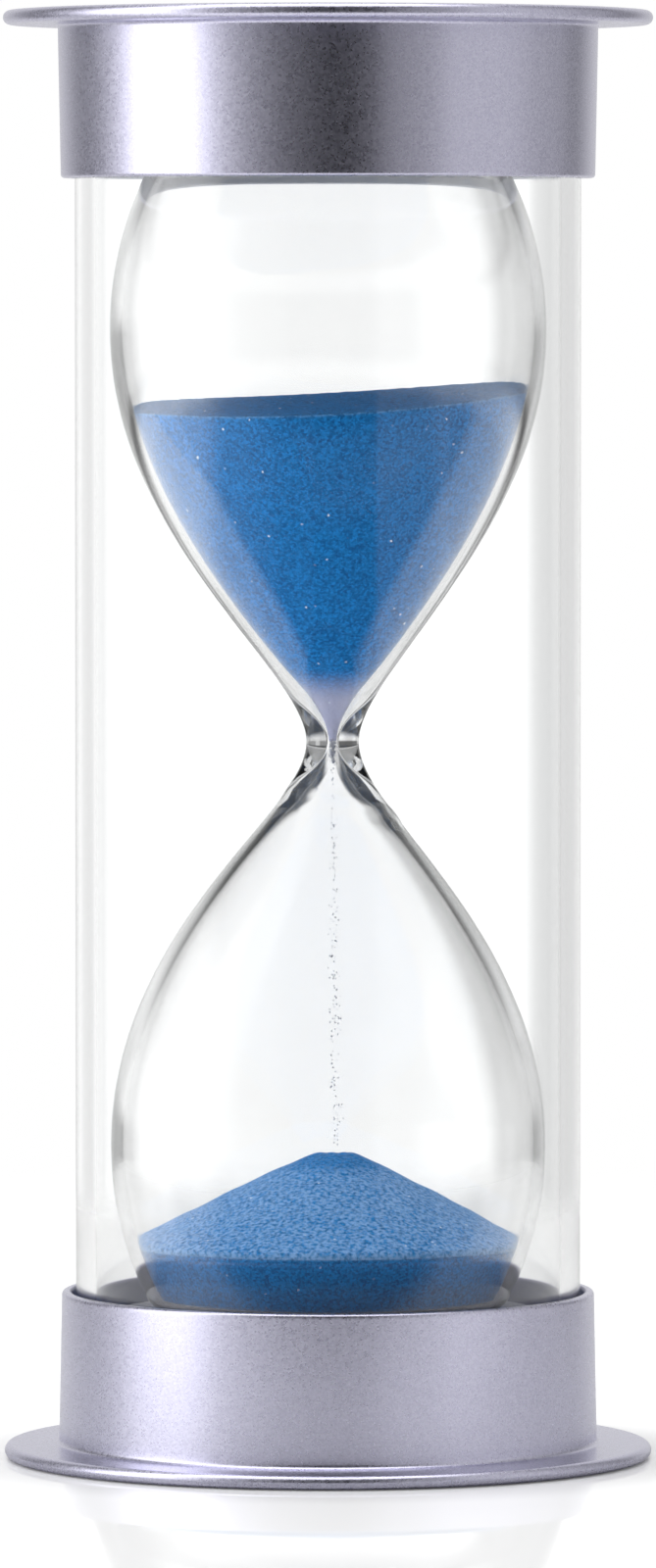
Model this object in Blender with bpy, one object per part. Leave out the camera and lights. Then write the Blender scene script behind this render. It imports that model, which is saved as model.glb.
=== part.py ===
"""A sand timer: a blown glass bulb of blue sand inside a clear tube, with a silver cap at each end.

Metres, +Z up. The origin is the middle of the bottom cap's underside. Everything is turned about Z,
and the timer is the same turned over, except for its sand and the plug that it was filled through.
"""

import math

import bmesh
import bpy
from mathutils import Vector

# Driving dimensions
HEIGHT = 0.160                  # over both caps
GAP = 0.0003                    # left between pieces that touch
ROUND = 40                      # sides of a turned piece

CAP_HEIGHT = 0.0185
FLANGE_RADIUS = 0.0358
FLANGE_THICKNESS = 0.0017
SKIRT_RADIUS = 0.02975          # where the skirt meets the flange
SKIRT_DRAFT = 0.0003            # how much the skirt narrows towards its rim
SKIRT_BORE = 0.0283
RIM_ROUNDING = 0.0004
SKIRT_FILLET = 0.0004

TUBE_RADIUS = 0.0279
TUBE_WALL = 0.0022
BEAD_HEIGHT = 0.0014            # of the adhesive in the corner between tube and cap
BEAD_WIDTH = 0.0020
BEAD_SAG = (0.55, 0.40)         # where its hollow face comes lowest, as shares of width and height

PAD_TOP = 0.0160
PAD_HOLE = 0.0070               # relief for the plug's head

BULB_END = 0.0637               # from the neck to each flat end
NECK_RADIUS = 0.0029
BELLY_RADIUS = 0.0241
BELLY = 0.045                   # from the neck to the widest part
NECK_LEAN = (0.0080, 0.0215)    # how far the neck's curve keeps to the neck, and comes in to the belly
SHOULDER_RADIUS = 0.0385        # of the arc from the belly to the end's corner
CORNER_RADIUS = 0.0030
GLASS_WALL = 0.0013
GLASS_FLOOR = 0.0013            # thickness of the flat ends
BORE_RADIUS = 0.00046           # of the hole that the sand runs through
BORE_LEAN = (0.0055, 0.0232)
INNER_CORNER_RADIUS = 0.0018

MOUTH_RADIUS = 0.0040           # of the hole in the top end that the bulb is filled through
PLUG_HEAD_RADIUS = 0.0060
PLUG_HEAD_THICKNESS = 0.0025
PLUG_TAPER = 0.0002

UPPER_LEVEL = 0.11695           # height of the upper sand on the axis
UPPER_TILT = math.radians(3.0)  # its surface is this much higher on the +X side
UPPER_FALL = math.radians(1.8)  # and this much higher at the back
PILE_APEX = 0.0343
PILE_TIP = (0.0012, 0.0001)     # the blunted top's radius, and how far its edge lies below the apex
PILE_EDGE = 0.0240              # height at which the lower pile meets the glass
PILE_MARGIN = 0.00042           # between the pile's edge and the true curve of the glass
PILE_CHAMFER = 0.0006           # where the sand leaves the wall for the flat floor
STREAM_RADIUS = BORE_RADIUS - GAP

NECK_HEIGHT = HEIGHT / 2
BEAD_FLOOR = FLANGE_THICKNESS + GAP
PAD_FLOOR = BEAD_FLOOR + BEAD_HEIGHT + GAP


def clear_scene():
    for old in list(bpy.data.objects):
        bpy.data.objects.remove(old, do_unlink=True)


def material(name, colour, roughness, metallic=0.0, transmission=0.0):
    """A Principled material, also coloured for the viewport."""
    made = bpy.data.materials.new(name)
    made.use_nodes = True
    shader = made.node_tree.nodes["Principled BSDF"]
    shader.inputs["Base Color"].default_value = (*colour, 1)
    shader.inputs["Roughness"].default_value = roughness
    shader.inputs["Metallic"].default_value = metallic
    shader.inputs["Transmission Weight"].default_value = transmission
    made.diffuse_color = (*colour, 1)
    return made


def arc(centre, radius, start, end, steps):
    """Points (r, z) round centre from one angle to another, in degrees, with both ends."""
    angles = (math.radians(start + (end - start) * i / steps) for i in range(steps + 1))
    return [(centre[0] + radius * math.cos(a), centre[1] + radius * math.sin(a)) for a in angles]


def turned(name, profile, sides=ROUND):
    """A mesh turned about Z from points (r, z) that run down its outer side.

    A profile that starts and ends on the axis makes a solid, and any other is closed into a ring.
    """
    shape = bmesh.new()
    points = [shape.verts.new((r, 0, z)) for r, z in profile]
    edges = [shape.edges.new(pair) for pair in zip(points, points[1:])]
    if profile[0][0] > 0:
        edges.append(shape.edges.new((points[-1], points[0])))
    bmesh.ops.spin(
        shape, geom=points + edges, cent=(0, 0, 0), axis=(0, 0, 1), angle=math.tau, steps=sides
    )
    bmesh.ops.remove_doubles(shape, verts=shape.verts, dist=0.000001)
    bmesh.ops.recalc_face_normals(shape, faces=shape.faces)
    return finished(name, shape)


def finished(name, shape):
    """The mesh of a bmesh, shaded smooth but for its sharp edges."""
    mesh = bpy.data.meshes.new(name)
    shape.to_mesh(mesh)
    shape.free()
    mesh.shade_smooth()
    mesh.set_sharp_from_angle(angle=math.radians(35))
    return mesh


def place(name, mesh, look, upside_down=False):
    """An object of the timer; one of the upper end is the lower one's mesh turned over."""
    piece = bpy.data.objects.new(name, mesh)
    bpy.context.collection.objects.link(piece)
    if not mesh.materials:
        mesh.materials.append(look)
    piece.parent = timer
    if upside_down:
        piece.location.z = HEIGHT
        piece.rotation_euler.x = math.pi
    return piece


def pair(name, mesh, look):
    """The same piece at both ends of the timer."""
    place("bottom_" + name, mesh, look)
    place("top_" + name, mesh, look, upside_down=True)


def cap_mesh():
    """A hat moulded in one: a disc with a rounded edge, and a skirt with a little draft."""
    edge = FLANGE_THICKNESS / 2
    rim_radius = SKIRT_RADIUS - SKIRT_DRAFT
    rim = CAP_HEIGHT - RIM_ROUNDING
    fillet = (SKIRT_RADIUS + SKIRT_FILLET, FLANGE_THICKNESS + SKIRT_FILLET)
    return turned("cap", [
        (0, FLANGE_THICKNESS),
        (SKIRT_BORE, FLANGE_THICKNESS),
        *arc((SKIRT_BORE + RIM_ROUNDING, rim), RIM_ROUNDING, 180, 90, 2),
        *arc((rim_radius - RIM_ROUNDING, rim), RIM_ROUNDING, 90, 0, 2),
        *arc(fillet, SKIRT_FILLET, 180, 270, 2),
        *arc((FLANGE_RADIUS - edge, edge), edge, 90, -90, 6),
        (0, 0),
    ])


def tube_mesh():
    """A plain length of clear tube, from one cap's floor to the other's."""
    end = FLANGE_THICKNESS + GAP
    bore = TUBE_RADIUS - TUBE_WALL
    return turned("tube", [
        (TUBE_RADIUS, HEIGHT - end),
        (TUBE_RADIUS, end),
        (bore, end),
        (bore, HEIGHT - end),
    ])


def bead_mesh():
    """A bead of adhesive in the corner between the tube's bore and the cap's floor."""
    outer = TUBE_RADIUS - TUBE_WALL - GAP
    return turned("bead", [
        (outer, BEAD_FLOOR + BEAD_HEIGHT),
        (outer, BEAD_FLOOR),
        (outer - BEAD_WIDTH, BEAD_FLOOR),
        (outer - BEAD_WIDTH * BEAD_SAG[0], BEAD_FLOOR + BEAD_HEIGHT * BEAD_SAG[1]),
    ])


def pad_mesh():
    """A thick disc of soft foam that one end of the bulb sits on, with a hole for the plug."""
    outer = TUBE_RADIUS - TUBE_WALL - GAP
    return turned("pad", [
        (outer, PAD_TOP),
        (outer, PAD_FLOOR),
        (PAD_HOLE, PAD_FLOOR),
        (PAD_HOLE, PAD_TOP),
    ])


def bulb_curve(neck, belly, lean, shoulder, corner, end):
    """Half a bulb's outline as points (distance from the neck, radius), from the neck to its flat end.

    A cubic Bezier runs along the neck and out to the belly, an arc round the same centre as the
    glass's other face makes the shoulder, and a corner arc meets the flat end.
    """
    spread = 8
    points = []
    for step in range(spread + 1):
        t = step / spread
        s = 1 - t
        along = 3 * lean[0] * t * s * s + 3 * lean[1] * t * t * s + BELLY * t ** 3
        radius = neck * (s ** 3 + 3 * t * s * s) + belly * (3 * t * t * s + t ** 3)
        points.append((along, radius))
    centre = belly - shoulder
    reach = shoulder - corner
    corner_along = end - corner
    lift = math.asin((corner_along - BELLY) / reach)
    corner_radius = centre + reach * math.cos(lift)
    for step in range(1, 4):
        angle = lift * step / 3
        points.append((BELLY + shoulder * math.sin(angle), centre + shoulder * math.cos(angle)))
    for step in range(1, 4):
        angle = lift + (math.pi / 2 - lift) * step / 3
        points.append((
            corner_along + corner * math.sin(angle),
            corner_radius + corner * math.cos(angle),
        ))
    return points


def cavity_curve():
    return bulb_curve(
        BORE_RADIUS,
        BELLY_RADIUS - GLASS_WALL,
        BORE_LEAN,
        SHOULDER_RADIUS - GLASS_WALL,
        INNER_CORNER_RADIUS,
        BULB_END - GLASS_FLOOR,
    )


def bulb_mesh():
    """The bulb, blown from one tube: both halves alike, with a mouth in the middle of the top end."""
    outside = bulb_curve(
        NECK_RADIUS, BELLY_RADIUS, NECK_LEAN, SHOULDER_RADIUS, CORNER_RADIUS, BULB_END
    )
    inside = cavity_curve()
    floor = inside[-1][0]
    return turned("bulb", [
        (0, NECK_HEIGHT - floor),
        *[(r, NECK_HEIGHT - h) for h, r in reversed(inside)],
        *[(r, NECK_HEIGHT + h) for h, r in inside[1:]],
        (MOUTH_RADIUS, NECK_HEIGHT + floor),
        (MOUTH_RADIUS, NECK_HEIGHT + BULB_END),
        *[(r, NECK_HEIGHT + h) for h, r in reversed(outside)],
        *[(r, NECK_HEIGHT - h) for h, r in outside[1:]],
        (0, NECK_HEIGHT - BULB_END),
    ])


def plug_mesh():
    """The stopper of the filling mouth: a tapered stem under a flat head."""
    head = NECK_HEIGHT + BULB_END + GAP
    stem = MOUTH_RADIUS - GAP
    return turned("plug", [
        (0, head + PLUG_HEAD_THICKNESS),
        (PLUG_HEAD_RADIUS, head + PLUG_HEAD_THICKNESS),
        (PLUG_HEAD_RADIUS, head),
        (stem, head),
        (stem - PLUG_TAPER, NECK_HEIGHT + BULB_END - GLASS_FLOOR),
        (0, NECK_HEIGHT + BULB_END - GLASS_FLOOR),
    ], sides=24)


def upper_sand_mesh():
    """The sand still to run: it fills the upper half from the neck, and a sloping plane levels it."""
    wall = [(r - GAP, NECK_HEIGHT + h) for h, r in cavity_curve()[1:9]]
    top = wall[-1][1]
    shape = bmesh.new()
    shape.from_mesh(turned("sand", [(0, top), *reversed(wall), (0, wall[0][1])]))
    slope = Vector((-math.tan(UPPER_TILT), -math.tan(UPPER_FALL), 1)).normalized()
    cut = bmesh.ops.bisect_plane(
        shape,
        geom=shape.verts[:] + shape.edges[:] + shape.faces[:],
        plane_co=(0, 0, UPPER_LEVEL),
        plane_no=slope,
        clear_outer=True,
    )
    rim = [part for part in cut["geom_cut"] if isinstance(part, bmesh.types.BMEdge)]
    bmesh.ops.contextual_create(shape, geom=rim)
    bmesh.ops.recalc_face_normals(shape, faces=shape.faces)
    return finished("upper_sand", shape)


def lower_sand_mesh():
    """The sand that has run: a cone at its angle of rest, over the bulb's rounded floor."""
    wall = [(r - GAP, NECK_HEIGHT - h) for h, r in cavity_curve()[9:]]
    floor = NECK_HEIGHT - BULB_END + GLASS_FLOOR + GAP
    wall = [(r, z) for r, z in wall if floor < z < PILE_EDGE]
    edge_along = NECK_HEIGHT - PILE_EDGE - BELLY
    shoulder = SHOULDER_RADIUS - GLASS_WALL
    edge = BELLY_RADIUS - SHOULDER_RADIUS + math.sqrt(shoulder ** 2 - edge_along ** 2) - PILE_MARGIN
    return turned("lower_sand", [
        (0, PILE_APEX),
        (PILE_TIP[0], PILE_APEX - PILE_TIP[1]),
        (edge, PILE_EDGE),
        *wall,
        (wall[-1][0] - PILE_CHAMFER, floor),
        (0, floor),
    ])


def stream_mesh():
    """The thread of falling grains, from the neck to the top of the pile."""
    return turned("stream", [
        (0, NECK_HEIGHT),
        (STREAM_RADIUS, NECK_HEIGHT),
        (STREAM_RADIUS, PILE_APEX + GAP),
        (0, PILE_APEX + GAP),
    ], sides=8)


clear_scene()
timer = bpy.data.objects.new("timer", None)
bpy.context.collection.objects.link(timer)

silver = material("silver_paint", (0.56, 0.55, 0.60), 0.32, metallic=0.9)
acrylic = material("clear_acrylic", (0.97, 0.98, 0.98), 0.02, transmission=1.0)
glass = material("blown_glass", (0.96, 0.97, 0.97), 0.0, transmission=1.0)
sand = material("blue_sand", (0.02, 0.18, 0.50), 0.85)
foam = material("grey_foam", (0.22, 0.22, 0.24), 0.9)
adhesive = material("adhesive", (0.80, 0.80, 0.74), 0.3)
silicone = material("silicone", (0.85, 0.85, 0.83), 0.5)

pair("cap", cap_mesh(), silver)
place("outer_tube", tube_mesh(), acrylic)
pair("glue_ring", bead_mesh(), adhesive)
pair("pad", pad_mesh(), foam)
place("glass_bulb", bulb_mesh(), glass)
place("fill_plug", plug_mesh(), silicone)
place("upper_sand", upper_sand_mesh(), sand)
place("lower_sand", lower_sand_mesh(), sand)
place("sand_stream", stream_mesh(), sand)
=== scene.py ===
"""A sand timer standing on a pale floor: silver caps, a clear tube, and a blown bulb of blue sand.

Metres, +Z up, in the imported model's own frame. The sections follow the timer as it is put together.
"""

import math

import bpy
import numpy as np
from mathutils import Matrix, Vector


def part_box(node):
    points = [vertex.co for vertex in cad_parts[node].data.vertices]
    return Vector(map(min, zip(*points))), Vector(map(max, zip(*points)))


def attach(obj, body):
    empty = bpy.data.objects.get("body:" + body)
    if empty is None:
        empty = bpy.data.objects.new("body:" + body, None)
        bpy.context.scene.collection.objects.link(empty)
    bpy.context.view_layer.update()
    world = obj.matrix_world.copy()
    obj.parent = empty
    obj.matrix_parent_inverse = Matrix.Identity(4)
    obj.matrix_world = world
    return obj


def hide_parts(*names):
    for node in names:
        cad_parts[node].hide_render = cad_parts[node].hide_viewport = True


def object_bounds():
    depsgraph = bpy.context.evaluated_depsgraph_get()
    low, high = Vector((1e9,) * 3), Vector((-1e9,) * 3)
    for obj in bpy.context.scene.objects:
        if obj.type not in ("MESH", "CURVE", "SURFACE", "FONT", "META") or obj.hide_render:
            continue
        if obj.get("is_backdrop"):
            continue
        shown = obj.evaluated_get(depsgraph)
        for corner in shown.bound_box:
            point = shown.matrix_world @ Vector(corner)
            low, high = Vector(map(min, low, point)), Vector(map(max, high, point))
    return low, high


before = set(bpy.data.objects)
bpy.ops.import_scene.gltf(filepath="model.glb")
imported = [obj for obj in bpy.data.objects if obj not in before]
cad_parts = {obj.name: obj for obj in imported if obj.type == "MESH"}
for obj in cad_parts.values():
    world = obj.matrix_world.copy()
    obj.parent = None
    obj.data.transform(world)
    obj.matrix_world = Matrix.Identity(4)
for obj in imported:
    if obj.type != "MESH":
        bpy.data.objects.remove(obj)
cad_low, cad_high = (list(corner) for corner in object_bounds())


# ---------------------------------------------------------------------------------------------
# Camera, floor and studio. The timer stands on a sheet of white acrylic, with the camera a good
# metre away and a little under its top cap. White light stands behind it and softboxes to either
# side, with a dark gap between them where the camera is.

CAMERA_DISTANCE = 1.225
CAMERA_HEIGHT = 0.131
AIM_HEIGHT = 0.0746
LENS = 254.65                   # millimetres
NEAR_CLIP = 0.01

camera_data = bpy.data.cameras.new("camera")
camera_data.lens = LENS
camera_data.clip_start = NEAR_CLIP
camera = bpy.data.objects.new("camera", camera_data)
camera.location = (0.0, -CAMERA_DISTANCE, CAMERA_HEIGHT)
aim = Vector((0.0, 0.0, AIM_HEIGHT)) - camera.location
camera.rotation_euler = aim.to_track_quat("-Z", "Y").to_euler()
bpy.context.collection.objects.link(camera)
bpy.context.scene.camera = camera
bpy.context.scene.view_settings.view_transform = "Standard"


class Wire:
    """An output in a node tree. Arithmetic on wires adds Math nodes, and node() adds any other."""

    def __init__(self, tree, output=None):
        self.tree = tree
        self.output = output

    def node(self, kind, sockets=None, out=0, **settings):
        """A shader node of that kind, as a wire from its output out.

        The settings come first, then each socket gets its value or its wire.
        """
        made = self.tree.nodes.new("ShaderNode" + kind)
        for name, value in settings.items():
            setattr(made, name, value)
        for key, value in (sockets or {}).items():
            if isinstance(value, Wire):
                self.tree.links.new(value.output, made.inputs[key])
            else:
                made.inputs[key].default_value = value
        return Wire(self.tree, made.outputs[out])

    def math(self, operation, *values):
        return self.node("Math", dict(enumerate(values)), operation=operation)

    def mix(self, first, second, share):
        """The colour first turning into second as share goes from 0 to 1."""
        return self.node("Mix", {0: share, 6: first, 7: second}, out=2, data_type="RGBA")

    def layer(self, first, second, share):
        """The shader first turning into second as share goes from 0 to 1."""
        return self.node("MixShader", {0: share, 1: first, 2: second})

    def step(self, low, high, a=0.0, b=1.0):
        """A smooth step from a, where the wire is at low, to b, where it is at high."""
        sockets = {0: self, 1: low, 2: high, 3: a, 4: b}
        return self.node("MapRange", sockets, interpolation_type="SMOOTHSTEP")

    def band(self, start, full, falling, end):
        """0 up to start, 1 from full to falling, 0 again from end, with smooth steps between."""
        return self.step(start, full) * self.step(falling, end, 1.0, 0.0)

    def rays(self, *kinds):
        """What a Light Path node says about the ray that has come, as one wire for each kind."""
        outputs = self.node("LightPath").output.node.outputs
        return [Wire(self.tree, outputs[kind]) for kind in kinds]

    def __add__(self, other):
        return self.math("ADD", self, other)

    def __sub__(self, other):
        return self.math("SUBTRACT", self, other)

    def __rsub__(self, other):
        return self.math("SUBTRACT", other, self)

    def __mul__(self, other):
        return self.math("MULTIPLY", self, other)

    __radd__ = __add__
    __rmul__ = __mul__


WHITE = (1, 1, 1, 1)
BLACK = (0, 0, 0, 1)
BESIDE_THE_HOLE = (6.0, 0.5)    # surfaces crossed through the neck's solid glass, give or take
SOFTBOXES = (                   # left, right, low, high, brightness, how softly the edges fade
    (-86, -64, -25, 60, 1.90, 17.0),
    (-96, -52, -25, 50, 0.50, 38.0),
    (23, 56, -30, 40, 0.30, 1.5),
    (60, 86, -25, 55, 0.22, 14.0),
    (58, 118, -25, 55, 0.38, 14.0),
)
CARDS = (                       # where each one's shade starts, is full, falls and ends, how deep
    (120, 130, 169, 173, 0.38),
    (80, 90, 120, 130, 0.20),
    (-166, -158, -146, -138, 0.27),
)


def studio():
    """The light from every direction: what reflections see, what glass passes, and plain white.

    turn is the azimuth from the camera's and rise the height over the horizon, both in degrees.
    """
    world = bpy.data.worlds.new("studio")
    bpy.context.scene.world = world
    world.use_nodes = True
    tree = world.node_tree
    tree.nodes.clear()
    start = Wire(tree)
    axes = start.node("SeparateXYZ", {0: start.node("TexCoord")}).output.node.outputs
    across, along, up = (Wire(tree, axis) for axis in axes)
    turn = start.math("ARCTAN2", across, along * -1.0) * (180 / math.pi)
    rise = start.math("ARCSINE", up) * (180 / math.pi)
    away = start.math("ABSOLUTE", turn)
    steep = start.math("ABSOLUTE", rise)
    seen, through, crossed = start.rays(
        "Is Camera Ray", "Is Transmission Ray", "Transmission Depth"
    )

    # The room, for reflections: softboxes, a pale wall behind, a dark gap round the camera, and a
    # bright ceiling.
    softboxes = 0.0
    for left, right, low, high, brightness, edge in SOFTBOXES:
        wide = turn.band(left - edge, left, right, right + edge)
        tall = rise.band(low - edge, low, high, high + edge)
        softboxes = wide * tall * brightness + softboxes
    gap = turn.band(-8, -5, 20, 23)
    room = (softboxes + 0.11 + away.step(120, 160) * 0.64) * (1 - gap * 0.85)
    room = room + rise.step(58, 75) * 2.9

    # The backdrop, for what is seen through the glass: a tall white strip and a wide low one that
    # make a cross, with grey cards before them, and the white table below the horizon.
    tall = away.step(168, 173) * steep.step(18, 34, 1.0, 0.0)
    wide = away.step(60, 105) * 0.60 + away.step(126, 138) * 0.62
    wide = wide + turn.band(-138, -126, -108, -92) * 0.35
    wide = wide * rise.band(-10, -7, 5, 16)
    backdrop = start.math("MAXIMUM", tall * 1.22, wide)
    for *edges, depth in CARDS:
        backdrop = backdrop * (1 - turn.band(*edges) * depth)
    table = rise.band(-44, -36, -14, -10) * 0.95

    # The solid glass beside the neck's hole bends the backdrop out of sight and stands dark, but
    # for one slit of light.
    solid = start.math("COMPARE", crossed, *BESIDE_THE_HOLE)
    slit = turn.band(149, 152, 158, 161)
    shade = away.step(112, 122) * (1 - slit * 0.7) * (0.65 + turn.step(20, -20) * 0.27)
    shade = shade * (0.15 + rise.step(2, -2) * 0.85)
    backdrop = backdrop * (1 - solid * shade) + table

    strength = room * (1 - through) + (backdrop + softboxes * 0.5 + 0.05) * through
    strength = strength * (1 - seen) + seen
    light = start.node("Background", {"Color": WHITE, "Strength": strength})
    out = tree.nodes.new("ShaderNodeOutputWorld")
    tree.links.new(light.output, out.inputs["Surface"])


def turned(name, profile, sides=192, shaped=None):
    """A mesh swept round Z from a profile of (radius, height) rows, down its outer side.

    Every point is (r cos a, r sin a, z). A profile whose ends are on the axis closes there with a
    pole at each end, and any other profile closes into a ring. shaped(a, r, z) may move the grid.
    """
    r, z = np.array(profile, float).T
    on_axis = r[0] == 0
    if on_axis:
        top, bottom = z[0], z[-1]
        r, z = r[1:-1], z[1:-1]
    rows = len(r)
    a = np.linspace(0, 2 * np.pi, sides, endpoint=False)[:, None]
    r, z = np.broadcast_to(r, (sides, rows)), np.broadcast_to(z, (sides, rows))
    x, y = r * np.cos(a), r * np.sin(a)
    if shaped:
        x, y, z = shaped(a, r, z)
    points = np.stack([x, y, z], -1).reshape(-1, 3)
    here = np.arange(sides)[:, None] * rows
    there = np.roll(here, -1, 0)
    step = np.arange(rows - 1 if on_axis else rows)
    after = (step + 1) % rows
    quads = np.stack([here + step, here + after, there + after, there + step], -1)
    faces = quads.reshape(-1, 4).tolist()
    if on_axis:
        high_pole = (x[:, 0].mean(), y[:, 0].mean(), top)
        low_pole = (x[:, -1].mean(), y[:, -1].mean(), bottom)
        tip, base = np.full_like(here, len(points)), np.full_like(here, len(points) + 1)
        points = np.vstack([points, high_pole, low_pole])
        faces += np.hstack([tip, here, there]).tolist()
        faces += np.hstack([base, there + rows - 1, here + rows - 1]).tolist()
    mesh = bpy.data.meshes.new(name)
    mesh.from_pydata(points.tolist(), [], faces)
    mesh.shade_smooth()
    piece = bpy.data.objects.new(name, mesh)
    bpy.context.collection.objects.link(piece)
    return piece


def principled(name, **constants):
    """A Principled material with plain values on its sockets, and a wire of the piece's place."""
    look = bpy.data.materials.new(name)
    look.use_nodes = True
    shader = look.node_tree.nodes["Principled BSDF"]
    for socket, value in constants.items():
        shader.inputs[socket.replace("_", " ")].default_value = value
    place = Wire(look.node_tree).node("TexCoord", out=3)
    return look, shader, place


def feed(shader, **wires):
    """Links wires to a shader's sockets, by the sockets' names."""
    for socket, wire in wires.items():
        shader.id_data.links.new(wire.output, shader.inputs[socket.replace("_", " ")])


def surfaced(look, shader_wire):
    """Makes the shader on a wire the material's surface."""
    output = look.node_tree.nodes["Material Output"]
    look.node_tree.links.new(shader_wire.output, output.inputs["Surface"])


FLOOR_RADIUS = 0.40
FLOOR_THICKNESS = 0.002
FADE_START = 0.26


def white_sheet():
    """White acrylic, lit from below away from the timer, with a faint reflection of it in front.

    What looks straight at it, what comes off the silver and what has passed the glass each find it
    lit to suit, and it fades out towards its edge.
    """
    look, shader, place = principled(
        "white_acrylic_sheet", Base_Color=(0.82, 0.82, 0.82, 1), Roughness=0.6,
        Emission_Strength=1.0, Specular_IOR_Level=0.0,
    )
    passed, glossy_depth, mirrored, looked_at, crossed = place.rays(
        "Is Transmission Ray", "Glossy Depth", "Is Glossy Ray", "Is Camera Ray",
        "Transmission Depth",
    )
    bounced = place.math("MINIMUM", glossy_depth, 1.0)
    solid = place.math("COMPARE", crossed, *BESIDE_THE_HOLE)
    from_middle = place.node("VectorMath", {0: place}, out=1, operation="LENGTH")
    back = place.node("SeparateXYZ", {0: place}, out=1)
    before = back.step(0.0, -0.03)
    front = back.band(-0.23, -0.17, -0.10, -0.03)
    beyond = back.step(-0.17, -0.23)

    glow = from_middle.step(0.035, 0.050) * 0.30
    glow = glow + passed * 0.35 + mirrored * front * 0.2 + looked_at * 0.16
    feed(shader, Emission_Color=glow)
    shine = place.node("BsdfGlossy", {"Color": WHITE, "Roughness": 0.05})
    sheet = place.layer(Wire(place.tree, shader.outputs[0]), shine, looked_at * 0.16 + 0.18)
    unlit = place.node("BsdfDiffuse", {"Color": BLACK})
    dimmed = mirrored * (0.30 - front * 0.30 + beyond * 0.5)
    dimmed = dimmed + passed * bounced * before * 0.9 + solid * passed * (1 - bounced) * 0.42
    sheet = place.layer(sheet, unlit, dimmed)
    fade = from_middle.step(FADE_START, FLOOR_RADIUS)
    surfaced(look, place.layer(sheet, place.node("BsdfTransparent"), fade))
    return look


studio()
floor_profile = [
    (0, 0), (FLOOR_RADIUS, 0), (FLOOR_RADIUS, -FLOOR_THICKNESS), (0, -FLOOR_THICKNESS),
]
floor = turned("floor", floor_profile)
floor.data.materials.append(white_sheet())
floor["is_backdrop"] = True


# ---------------------------------------------------------------------------------------------
# The caps: two mouldings alike in thin ABS, a flanged disc with a skirt, sprayed all over with a
# fine silver metallic paint and glued on the ends of the tube.

HEIGHT = cad_high[2]
CAP_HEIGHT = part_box("bottom_cap")[1][2]
FLANGE_RADIUS = cad_high[0]
FLANGE_THICKNESS = 0.0017
FLANGE_EDGE = 0.00078
UNDERSIDE_EDGE = 0.0018
FOOT_RADIUS = 0.030
SKIRT_RADIUS = 0.02975
RIM_RADIUS = 0.02945
SKIRT_BORE = 0.0283
RIM_ROUNDING = 0.0004
SKIRT_FILLET = 0.0005
FLOOR_FILLET = 0.0006

DARK_FLAKE = (0.53, 0.52, 0.66, 1)
BRIGHT_FLAKE = (0.66, 0.65, 0.79, 1)
INSIDE_PAINTED_SHADE = (0.24, 0.23, 0.31, 1)
INSIDE_PAINTED_LIGHT = (0.85, 0.85, 0.88, 1)


def arc(centre, radius, start, end, steps=12):
    """Rows round centre (r, z) from angle to angle, in degrees: centre + radius (cos, sin)."""
    angles = np.radians(np.linspace(start, end, steps + 1))
    return np.array(centre) + radius * np.column_stack([np.cos(angles), np.sin(angles)])


def eased(profile, longest=0.002, inset=0.0002):
    """The profile with a row just inside each end of every long run, so that it shades straight."""
    profile = np.array(profile, float)
    run = np.diff(profile, axis=0)
    length = np.hypot(run[:, 0], run[:, 1])
    long = np.flatnonzero(length > longest)
    share = inset / length[long, None]
    near = profile[long] + run[long] * share
    far = profile[long] + run[long] * (1 - share)
    extra = np.stack([near, far], 1).reshape(-1, 2)
    return np.insert(profile, np.repeat(long + 1, 2), extra, axis=0)


def at_end(profile, end):
    """The profile as it is for the bottom. For the top, z becomes HEIGHT - z, in reversed order."""
    profile = np.array(profile, float)
    if end == "top":
        profile = np.column_stack([profile[:, 0], HEIGHT - profile[:, 1]])[::-1]
    return profile


def fitted(piece, look, slot, *nodes):
    """Gives a piece its material and puts it in place of its CAD nodes. slot is not used."""
    piece.data.materials.append(look)
    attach(piece, "root")
    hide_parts(*nodes)


def cap_profile():
    """The hat's outline, from its inner floor over the rim and down the skirt to the underside."""
    rim = CAP_HEIGHT - RIM_ROUNDING
    flange = FLANGE_THICKNESS
    return [
        (0, flange),
        *arc((SKIRT_BORE - FLOOR_FILLET, flange + FLOOR_FILLET), FLOOR_FILLET, 270, 360, 6),
        *arc((SKIRT_BORE + RIM_ROUNDING, rim), RIM_ROUNDING, 180, 90, 8),
        *arc((RIM_RADIUS - RIM_ROUNDING, rim), RIM_ROUNDING, 90, 0, 8),
        (SKIRT_RADIUS, flange + SKIRT_FILLET * 2.4),
        *arc((SKIRT_RADIUS + SKIRT_FILLET, flange + SKIRT_FILLET), SKIRT_FILLET, 180, 270, 8),
        *arc((FLANGE_RADIUS - FLANGE_EDGE, flange / 2), FLANGE_EDGE, 90, -90, 20),
        (FLANGE_RADIUS - UNDERSIDE_EDGE, 0),
        (FOOT_RADIUS, 0),
        (0, 0),
    ]


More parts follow.
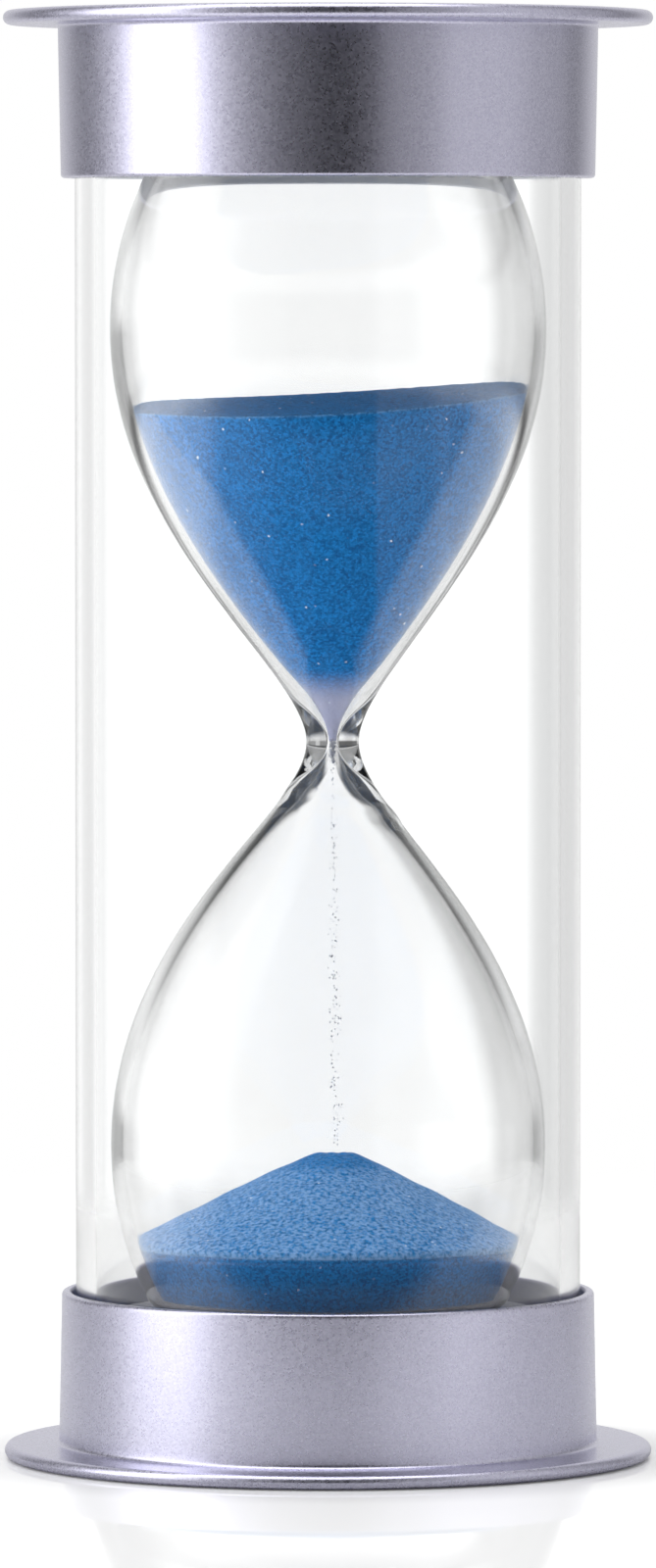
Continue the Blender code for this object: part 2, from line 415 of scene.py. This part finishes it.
def silver_paint():
    """Silver paint: bright flakes in a violet-grey base. Inside the skirt it is no metal, with
    painted shade in the bottom cap and painted light in the top one.

    The paint is full where the radius, or the height over the middle, is that of an outer face.
    """
    look, shader, place = principled("silver_paint", Coat_Weight=0.25, Coat_Roughness=0.12)
    flakes = place.node("TexVoronoi", {"Vector": place, "Scale": 5200.0}, out=1)
    glint = flakes.node("SeparateColor", {0: flakes})
    peel = place.node("TexNoise", {"Vector": place, "Scale": 900.0, "Detail": 2.0})
    cloud = place.node("TexNoise", {"Vector": place, "Scale": 60.0, "Detail": 3.0})
    grit = glint * 0.5 + peel * 0.5
    bump = place.node("Bump", {"Strength": 0.15, "Distance": 0.00003, "Height": grit})

    flat = place.node("VectorMath", {0: place, 1: (1, 1, 0)}, operation="MULTIPLY")
    radius = flat.node("VectorMath", {0: flat}, out=1, operation="LENGTH")
    height = place.node("SeparateXYZ", {0: place}, out=2)
    level = place.math("ABSOLUTE", height - HEIGHT / 2)
    flange_inside = (HEIGHT - FLANGE_THICKNESS * 1.4) / 2
    flange_outside = (HEIGHT - FLANGE_THICKNESS * 0.6) / 2
    outside = place.math(
        "MAXIMUM", radius.step(0.0284, 0.0287), level.step(flange_inside, flange_outside)
    )
    # Inside the skirt the colour is painted shade in the bottom cap and painted light in the top cap.
    inside_painted_light_and_shade = place.mix(INSIDE_PAINTED_SHADE, INSIDE_PAINTED_LIGHT, height.step(0.10, 0.12))
    colour = place.mix(inside_painted_light_and_shade, place.mix(DARK_FLAKE, BRIGHT_FLAKE, glint), outside)
    roughness = 0.24 + glint * 0.1 + cloud * 0.04 + (1 - outside) * 0.4
    feed(shader, Base_Color=colour, Metallic=outside, Roughness=roughness, Normal=bump)
    return look


paint = silver_paint()
for end in ("bottom", "top"):
    moulding = turned(end + "_cap_moulding", eased(at_end(cap_profile(), end)))
    fitted(moulding, paint, "cap", end + "_cap")


# ---------------------------------------------------------------------------------------------
# The beads of adhesive in the corners between the tube and the caps' floors, and the foam pads on
# them that the bulb's flat ends rest on. The pads are stamped from closed-cell foam with a hole.

bead_low, bead_high = (corner[2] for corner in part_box("bottom_glue_ring"))
pad_low, pad_high = (corner[2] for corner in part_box("bottom_pad"))
PAD_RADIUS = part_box("bottom_pad")[1][0]
PAD_HOLE = 0.007
PAD_EDGE = 0.0005
BEAD_WIDTH = 0.0020

bead_inside = PAD_RADIUS - BEAD_WIDTH
bead_profile = [
    (PAD_RADIUS, bead_high),
    (PAD_RADIUS, bead_low),
    (bead_inside, bead_low),
    *arc((bead_inside, bead_high), bead_high - bead_low, 275, 350, 6),
]
glue, glue_shader, place = principled("adhesive", Roughness=0.3)
cloudy = place.node("TexNoise", {"Vector": place, "Scale": 400.0})
feed(glue_shader, Base_Color=place.mix((0.72, 0.70, 0.62, 1), (0.85, 0.84, 0.78, 1), cloudy))

pad_profile = [
    *arc((PAD_RADIUS - PAD_EDGE, pad_high - PAD_EDGE), PAD_EDGE, 90, 0, 5),
    *arc((PAD_RADIUS - PAD_EDGE, pad_low + PAD_EDGE), PAD_EDGE, 0, -90, 5),
    *arc((PAD_HOLE + PAD_EDGE, pad_low + PAD_EDGE), PAD_EDGE, 270, 180, 5),
    *arc((PAD_HOLE + PAD_EDGE, pad_high - PAD_EDGE), PAD_EDGE, 180, 90, 5),
]
foam, foam_shader, place = principled("foam", Roughness=0.9)
cells = place.node("TexVoronoi", {"Vector": place, "Scale": 2600.0})
dimples = place.node("Bump", {"Strength": 0.5, "Distance": 0.00015, "Height": cells})
foam_colour = place.mix((0.16, 0.16, 0.18, 1), (0.30, 0.30, 0.33, 1), cells)
feed(foam_shader, Base_Color=foam_colour, Normal=dimples)

for end in ("bottom", "top"):
    for name, outline, look, slot, node in (
        ("_glue_bead", bead_profile, glue, "adhesive", "_glue_ring"),
        ("_foam_pad", pad_profile, foam, "pad", "_pad"),
    ):
        fitted(turned(end + name, eased(at_end(outline, end))), look, slot, end + node)


# ---------------------------------------------------------------------------------------------
# The outer tube: extruded clear acrylic, sawn to length and pushed into the caps. Faint lines run
# along it from the die.

TUBE_RADIUS = 0.0279
TUBE_BORE = 0.0257
TUBE_CHAMFER = 0.0003
TUBE_SIDES = 256


def clear(name, colour, ior):
    """Clear glass or plastic that bends what is seen, but lets the light fall on the sand."""
    look, shader, place = principled(
        name, Base_Color=colour, Roughness=0.0, IOR=ior, Transmission_Weight=1.0
    )
    diffuse, shadow = place.rays("Is Diffuse Ray", "Is Shadow Ray")
    open_air = place.node("BsdfTransparent")
    body = place.layer(Wire(place.tree, shader.outputs[0]), open_air, diffuse)
    surfaced(look, place.layer(body, open_air, shadow))
    return look, shader, place


acrylic, acrylic_shader, place = clear("clear_acrylic", (0.985, 0.99, 0.99, 1), 1.49)
drawn = place.node("Mapping", {"Vector": place, "Scale": (1.0, 1.0, 0.01)})
lines = place.node("TexNoise", {"Vector": drawn, "Scale": 180.0, "Detail": 2.0})
ripple = place.node("Bump", {"Strength": 0.05, "Distance": 0.0001, "Height": lines})
feed(acrylic_shader, Normal=ripple)

tube_low, tube_high = (corner[2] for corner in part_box("outer_tube"))
in_bore, in_wall = TUBE_BORE + TUBE_CHAMFER, TUBE_RADIUS - TUBE_CHAMFER
tube_profile = [
    *arc((in_bore, tube_high - TUBE_CHAMFER), TUBE_CHAMFER, 180, 90, 4),
    *arc((in_wall, tube_high - TUBE_CHAMFER), TUBE_CHAMFER, 90, 0, 4),
    *arc((in_wall, tube_low + TUBE_CHAMFER), TUBE_CHAMFER, 0, -90, 4),
    *arc((in_bore, tube_low + TUBE_CHAMFER), TUBE_CHAMFER, 270, 180, 4),
    (TUBE_BORE, tube_high - TUBE_CHAMFER),
]
tube = turned("clear_tube", eased(tube_profile)[:-1], TUBE_SIDES)
fitted(tube, acrylic, "tube", "outer_tube")


# ---------------------------------------------------------------------------------------------
# The bulb: blown from one glass tube that is drawn in at the neck, so its wall is thick there and
# a little uneven. Its ends are flat, and it is filled through a mouth in the top one.

NECK_HEIGHT = HEIGHT / 2
BULB_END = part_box("glass_bulb")[1][2] - NECK_HEIGHT
BULB_SIDES = 256
GLASS_FLOOR = 0.0013
BELLY = 0.045
SHOULDER_CENTRE = -0.0144
MOUTH_RADIUS = 0.0040
BORE_RADIUS = 0.00046


def bulb_curve(neck, belly, handles, corner, end):
    """Half a bulb's outline, from the neck to its flat end: rows (distance from the neck, radius).

    A cubic Bezier from (0, neck) to (BELLY, belly), whose handles both run along the axis, then an
    arc round (BELLY, SHOULDER_CENTRE), and a corner arc that turns onto the flat end.
    """
    t = np.linspace(0, 1, 49)
    s = 1 - t
    along = 3 * handles[0] * t * s * s + 3 * handles[1] * t * t * s + BELLY * t ** 3
    radius = neck * (s ** 3 + 3 * t * s * s) + belly * (3 * t * t * s + t ** 3)
    shoulder = belly - SHOULDER_CENTRE
    reach = shoulder - corner
    lift = math.asin((end - corner - BELLY) / reach)
    round_off = lift * np.linspace(0, 1, 17)[1:]
    turn_in = lift + (math.pi / 2 - lift) * np.linspace(0, 1, 9)[1:]
    corner_radius = SHOULDER_CENTRE + reach * math.cos(lift)
    along = np.concatenate([
        along,
        BELLY + shoulder * np.sin(round_off),
        end - corner + corner * np.sin(turn_in),
    ])
    radius = np.concatenate([
        radius,
        SHOULDER_CENTRE + shoulder * np.cos(round_off),
        corner_radius + corner * np.cos(turn_in),
    ])
    return np.column_stack([along, radius])


def gathered(curve):
    """Thickens the neck's wall inwards: the cavity over the bore shrinks by 0.6 of a bell curve."""
    along, radius = curve.T
    narrow = 1 - 0.6 * np.exp(-(along / 0.004) ** 2)
    return np.column_stack([along, BORE_RADIUS + (radius - BORE_RADIUS) * narrow])


OUTSIDE = bulb_curve(0.0029, 0.0241, (0.0080, 0.0215), 0.0030, BULB_END)
INSIDE = gathered(
    bulb_curve(BORE_RADIUS, 0.0228, (0.0055, 0.0232), 0.0018, BULB_END - GLASS_FLOOR)
)
INNER_FLOOR = INSIDE[-1, 0]


def neck_offset(z):
    """How far the neck stands off the axis in x and hangs in z: bell curves over the height."""
    near = np.exp(-((z - NECK_HEIGHT) / 0.016) ** 2)
    return 0.0005 * near, -0.0007 * near


def blown(a, r, z):
    """A blown bulb's unevenness, on the grid (r cos a, r sin a, z).

    The radius swells and shrinks by 0.4% twice round each belly, as a sine of the angle and the
    height. A tilted ring 3% wider stands 6.5 mm below the neck, and the neck is off the axis.
    """
    h = (z - NECK_HEIGHT) / 0.001
    lean, sag = neck_offset(z)
    swell = 1 + 0.004 * np.sin(2 * a + 0.7 + h / 17) * np.exp(-((abs(h) - 30) / 25) ** 2)
    ring = 1 + 0.03 * np.exp(-((h + 6.5 + 1.5 * np.cos(a)) / 0.9) ** 2)
    r = r * swell * ring
    return r * np.cos(a) + lean, r * np.sin(a), z + sag


def bulb_profile():
    """The glass's section, from its inner floor up to the mouth and down the outside."""

    def upper_half(curve):
        return np.column_stack([curve[:, 1], NECK_HEIGHT + curve[:, 0]])

    def lower_half(curve):
        return np.column_stack([curve[:, 1], NECK_HEIGHT - curve[:, 0]])

    return [
        (0, NECK_HEIGHT - INNER_FLOOR),
        *lower_half(INSIDE[::-1]),
        *upper_half(INSIDE[1:]),
        (MOUTH_RADIUS, NECK_HEIGHT + INNER_FLOOR),
        (MOUTH_RADIUS, NECK_HEIGHT + BULB_END),
        *upper_half(OUTSIDE[::-1]),
        *lower_half(OUTSIDE[1:]),
        (0, NECK_HEIGHT - BULB_END),
    ]


glass = clear("blown_glass", (0.99, 0.99, 0.99, 1), 1.50)[0]
bulb = turned("blown_bulb", eased(bulb_profile()), BULB_SIDES, blown)
fitted(bulb, glass, "bulb", "glass_bulb")


# ---------------------------------------------------------------------------------------------
# The stopper: a tapered plug with a flat head, moulded in translucent white silicone. It is pressed
# into the mouth once the sand is in, and the pad in the top cap leaves room for its head.

plug_low, plug_high = (corner[2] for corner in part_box("fill_plug"))
head_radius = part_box("fill_plug")[1][0]
PLUG_SLACK = 0.0003
HEAD_EDGE = 0.0005
HEAD_LIP = 0.0002
STEM_EDGE = 0.0003
STEM_TAPER = 0.0002
PLUG_SIDES = 96

under_head = NECK_HEIGHT + BULB_END + PLUG_SLACK
stem_radius = MOUTH_RADIUS - PLUG_SLACK
stem_tip = stem_radius - STEM_TAPER - STEM_EDGE
plug_profile = [
    (0, plug_high),
    *arc((head_radius - HEAD_EDGE, plug_high - HEAD_EDGE), HEAD_EDGE, 90, 0, 6),
    *arc((head_radius - HEAD_LIP, under_head + HEAD_LIP), HEAD_LIP, 0, -90, 4),
    (stem_radius, under_head),
    *arc((stem_tip, plug_low + STEM_EDGE), STEM_EDGE, 0, -90, 4),
    (0, plug_low),
]
silicone, silicone_shader, place = principled("silicone", Roughness=0.5, Subsurface_Weight=0.3)
mottle = place.node("TexNoise", {"Vector": place, "Scale": 500.0})
feed(silicone_shader, Base_Color=place.mix((0.80, 0.80, 0.78, 1), (0.88, 0.88, 0.86, 1), mottle))
fitted(turned("stopper", eased(plug_profile), PLUG_SIDES), silicone, "plug", "fill_plug")


# ---------------------------------------------------------------------------------------------
# The sand: fine quartz dyed blue, with a few white dots painted in as sparkle. What is left in the
# top lies on a slope. What has run makes a cone, its skin painted paler for dust and for the light
# from above, with a dent where the thread lands.

SLACK = 0.00006                 # between the sand and the glass
SAND_SIDES = 192
PALE_RING_REACH = 0.00016                 # how far the paler colour reaches from where the sand's edge meets the glass
UPPER_LEVEL = 0.11695
SURFACE_RADIUS = 0.0222
FOOT_LEVEL = 0.0802             # the lowest ring of the upper sand, in the hole, and its tip
FOOT_WIDTH = 0.0003
FOOT_TIP = 0.0800
PILE_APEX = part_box("lower_sand")[1][2]
PILE_EDGE = 0.0240

DEEP_BLUE = (0.0020, 0.095, 0.300, 1)
BRIGHT_BLUE = (0.012, 0.290, 0.800, 1)
MID_BLUE = (0.008, 0.220, 0.600, 1)
PALE_RING = (0.30, 0.52, 0.72, 1)
PAINTED_SPARKLE = (0.80, 0.92, 1.0, 1)
NECK_PAINTED_VEIL = (0.50, 0.52, 0.72, 1)
DUST_AND_TOP_LIGHT_BLUE = (0.25, 0.49, 0.87, 1)


def blue_sand(name, paler):
    """Dyed sand: grains that differ in depth of blue, a few white dots of painted sparkle, and a
    granular skin.

    The piece's attribute "brink" is 1 where the sand's edge meets the glass, and the colour is paler
    there.
    """
    look, shader, place = principled(name, Roughness=0.6, Specular_IOR_Level=0.1)
    grain = place.node("TexVoronoi", {"Vector": place, "Scale": 4300.0}, out=1)
    tone = grain.node("SeparateColor", {0: grain})
    sparkle_pick = Wire(place.tree, tone.output.node.outputs[1])
    patch = place.node("TexNoise", {"Vector": place, "Scale": 90.0, "Detail": 4.0})
    colour = place.mix(DEEP_BLUE, BRIGHT_BLUE, tone)
    colour = place.mix(colour, MID_BLUE, patch * 0.4)
    edge = place.node("Attribute", out=2, attribute_name="brink")
    colour = place.mix(colour, PALE_RING, edge * (tone * 0.4 + 0.1))
    height = place.node("SeparateXYZ", {0: place}, out=2)
    colour = paler(place, height, colour)
    # A few white dots painted in as sparkle, where grains would catch the light.
    colour = place.mix(colour, PAINTED_SPARKLE, sparkle_pick.step(0.9982, 0.9998))
    lumps = place.node("TexNoise", {"Vector": place, "Scale": 3000.0, "Detail": 2.0})
    relief = {"Strength": 0.8, "Distance": 0.00012, "Height": lumps + tone * 0.5}
    feed(shader, Base_Color=colour, Normal=place.node("Bump", relief))
    return look


def throat(place, height, colour):
    """Towards the neck, where the grains run loose, the sand is painted pale grey: a painted veil of
    the light off the thick glass there.
    """
    return place.mix(colour, NECK_PAINTED_VEIL, height.step(0.0880, 0.0838))


def dust_and_top_light(place, height, colour):
    """The cone's own skin is paler than the sand pressed against the glass under it: dust, and
    painted light from above. Round the apex there is less of it.
    """
    # Painted light from above, with dust, on the cone's skin.
    skin = height.step(PILE_EDGE - 0.0002, PILE_EDGE)
    skin = skin * height.step(PILE_APEX - 0.0012, PILE_APEX - 0.0026, 0.3, 1.0)
    patchy = place.node("TexNoise", {"Vector": place, "Scale": 2400.0, "Detail": 2.0})
    return place.mix(colour, DUST_AND_TOP_LIGHT_BLUE, skin * patchy.step(0.30, 0.68))


def cavity(z):
    """The bulb's inner radius at a height, read off INSIDE."""
    return np.interp(abs(z - NECK_HEIGHT), INSIDE[:, 0], INSIDE[:, 1])


def brink(piece, distance):
    """Stores how near each point is to the sand's edge: a bell curve of its distance from there.

    The two poles, which come last in the mesh, are far from the edge and get 0.
    """
    near = np.exp(-(distance / PALE_RING_REACH) ** 2)
    layer = piece.data.attributes.new("brink", "FLOAT", "POINT")
    layer.data.foreach_set("value", np.append(near, [0, 0]).astype(np.float32))


def upper_surface(x, y):
    """The sand that is left: higher on the right and at the back, saddle-shaped, and finely rough.

    The level, plus a plane, a saddle u^2 - v^2 and products of sines.
    """
    u, v = x / SURFACE_RADIUS, y / SURFACE_RADIUS
    slope = 0.00117 * u + 0.00069 * v + 0.00047 * (u * u - v * v)
    rough = np.sin(x * 2100 + y * 900) * np.cos(y * 1700 - x * 600)
    rough = rough + np.sin(x * 3700 + 1 + y * 2900)
    return UPPER_LEVEL + slope + 0.00003 * rough


# The upper sand's grid: rings from the middle of the slope to the glass, then down it to the hole.
# The edge's height and its radius settle on each other in a few rounds.
a = np.linspace(0, 2 * np.pi, SAND_SIDES, endpoint=False)[:, None]
edge_z = np.full((SAND_SIDES, 1), UPPER_LEVEL)
for _ in range(6):
    edge_r = cavity(edge_z) - SLACK
    edge_z = upper_surface(edge_r * np.cos(a), edge_r * np.sin(a))
top_r = edge_r * np.linspace(0, 1, 61)[None, 1:-1]
top_z = upper_surface(top_r * np.cos(a), top_r * np.sin(a))
wall_z = FOOT_LEVEL + (edge_z - FOOT_LEVEL) * (1 - np.linspace(0, 1, 120)[None, :] ** 1.25)
wall_r = np.maximum(cavity(wall_z) - SLACK, FOOT_WIDTH)
upper_r = np.hstack([top_r, wall_r])
upper_z = np.hstack([top_z, wall_z])


def leaning(a, r, z):
    """The upper sand's own grid in place of an even one, moved off the axis as the neck is."""
    lean, sag = neck_offset(upper_z)
    return upper_r * np.cos(a) + lean, upper_r * np.sin(a), upper_z + sag


upper_profile = [
    (0, upper_surface(0.0, 0.0)), *np.column_stack([upper_r[0], upper_z[0]]), (0, FOOT_TIP),
]
upper = turned("sand_left_to_run", upper_profile, SAND_SIDES, leaning)
brink(upper, np.hstack([edge_r - top_r, edge_z - wall_z]))
fitted(upper, blue_sand("blue_sand_above", throat), "sand", "upper_sand")


def cone(r):
    """The pile's height over its radius: a cone, rounded at the top, with a dent in the middle."""
    peak = PILE_APEX + 0.0004
    slope = (peak - PILE_EDGE) / cavity(PILE_EDGE)
    return peak - np.hypot(r, 0.0021) * slope + 0.0006 - 0.0009 * np.exp(-(r / 0.0013) ** 2)


def slumped(a, r, z):
    """The cone's small runnels and lumps: products of sines of the angle and the radius.

    Its tip is also pushed along x, more the higher, because the thread doesn't fall on the axis.
    """
    on_cone = np.clip((z - PILE_EDGE) / 0.002, 0, 1)
    lump = np.sin(a * 5 + r * 400) * np.cos(a * 3 - r * 900 + 1)
    drift = 0.0008 * np.clip((z - PILE_EDGE) / (PILE_APEX - PILE_EDGE), 0, 1)
    return r * np.cos(a) + drift, r * np.sin(a), z + on_cone * 0.00009 * lump


floor_z = NECK_HEIGHT - INNER_FLOOR + SLACK
pile_r = np.linspace(0, cavity(PILE_EDGE) - SLACK, 81)[1:]
wall_down = PILE_EDGE + (floor_z - PILE_EDGE) * np.linspace(0, 1, 41)[1:] ** 1.5
pile_profile = np.array([
    (0, cone(0.0)),
    *np.column_stack([pile_r, cone(pile_r)]),
    *np.column_stack([cavity(wall_down) - SLACK, wall_down]),
    (0, floor_z),
])
lower = turned("sand_that_has_run", pile_profile, SAND_SIDES, slumped)
brink(lower, np.tile(pile_profile[1:-1, 1] - PILE_EDGE, SAND_SIDES))
fitted(lower, blue_sand("blue_sand_below", dust_and_top_light), "sand", "lower_sand")


# ---------------------------------------------------------------------------------------------
# The thread of falling sand: separate grains that spread a little as they fall. They are packed
# close together where they leave the hole. Each one is a small double pyramid of eight faces.

GRAINS = 390
PACKED = 200
THREAD_TOP = 0.0799
LANDING = 0.0003                # how far over the pile the lowest grains are

grain_rng = np.random.default_rng(7)
fall = grain_rng.random(GRAINS) ** 0.8
fall[-PACKED:] = grain_rng.random(PACKED) ** 1.3 * 0.07
spread = 0.00012 + 0.00030 * fall
spread[-PACKED:] = 0.00017
middle = np.column_stack([
    0.0005 + 0.0003 * fall + grain_rng.normal(0, 1, GRAINS) * spread,
    grain_rng.normal(0, 1, GRAINS) * spread,
    THREAD_TOP - fall * (THREAD_TOP - PILE_APEX - LANDING),
])
size = grain_rng.uniform(0.00005, 0.00011, GRAINS)
corners = np.array([(1, 0, 0), (-1, 0, 0), (0, 1, 0), (0, -1, 0), (0, 0, 1.3), (0, 0, -1.3)])
corners = corners * grain_rng.uniform(0.7, 1.2, (GRAINS, 6, 1))
facets = np.array([
    (0, 2, 4), (2, 1, 4), (1, 3, 4), (3, 0, 4), (2, 0, 5), (1, 2, 5), (3, 1, 5), (0, 3, 5),
])
points = (middle[:, None, :] + corners * size[:, None, None]).reshape(-1, 3)
faces = (np.arange(GRAINS)[:, None, None] * 6 + facets).reshape(-1, 3)
thread_mesh = bpy.data.meshes.new("falling_grains")
thread_mesh.from_pydata(points.tolist(), [], faces.tolist())
thread = bpy.data.objects.new("falling_grains", thread_mesh)
bpy.context.collection.objects.link(thread)

loose, loose_shader, place = principled("falling_sand", Roughness=0.6)
tint = place.node("TexVoronoi", {"Vector": place, "Scale": 3000.0}, out=1)
tone = tint.node("SeparateColor", {0: tint})
feed(loose_shader, Base_Color=place.mix((0.18, 0.20, 0.27, 1), (0.55, 0.57, 0.66, 1), tone))
fitted(thread, loose, "sand", "sand_stream")
